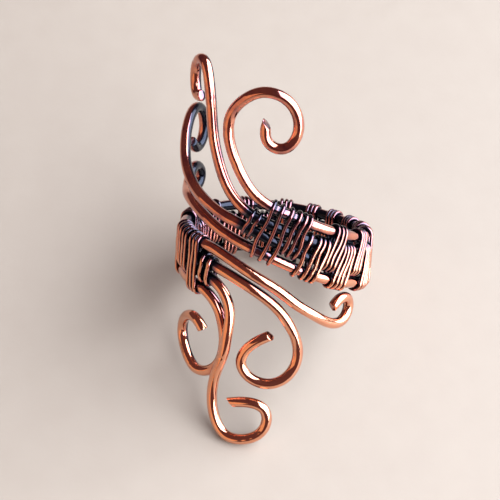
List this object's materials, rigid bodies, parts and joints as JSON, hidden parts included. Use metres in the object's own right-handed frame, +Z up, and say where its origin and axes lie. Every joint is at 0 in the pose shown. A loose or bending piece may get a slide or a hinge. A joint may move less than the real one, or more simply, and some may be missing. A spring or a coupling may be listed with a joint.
{
  "type": "bypass finger ring of woven copper wire",
  "caption": "Bypass finger ring of round copper wires held side by side by fine woven wire, with open scrolls curling past each end of the band.",
  "frame": {"origin": "centre of the footprint, on the surface that the ring rests on", "axes": "+Z up from the surface; +X across the finger hole; the finger hole's axis lies in the YZ plane, leaning 35.28 degrees from +Z towards +Y; the scrolls are on the -Y side"},
  "size_m": [0.0226, 0.0326, 0.0335],
  "materials": {
    "copper_base_wire": "antiqued and polished copper",
    "copper_weaving_wire": "antiqued copper, darker in the recesses"
  },
  "bodies": {
    "root": {"upper_edge_wire": "copper_base_wire", "upper_middle_wire": "copper_base_wire", "lower_middle_wire": "copper_base_wire", "lower_edge_wire": "copper_base_wire", "weaving_wire": "copper_weaving_wire"}
  },
  "joints": []
}
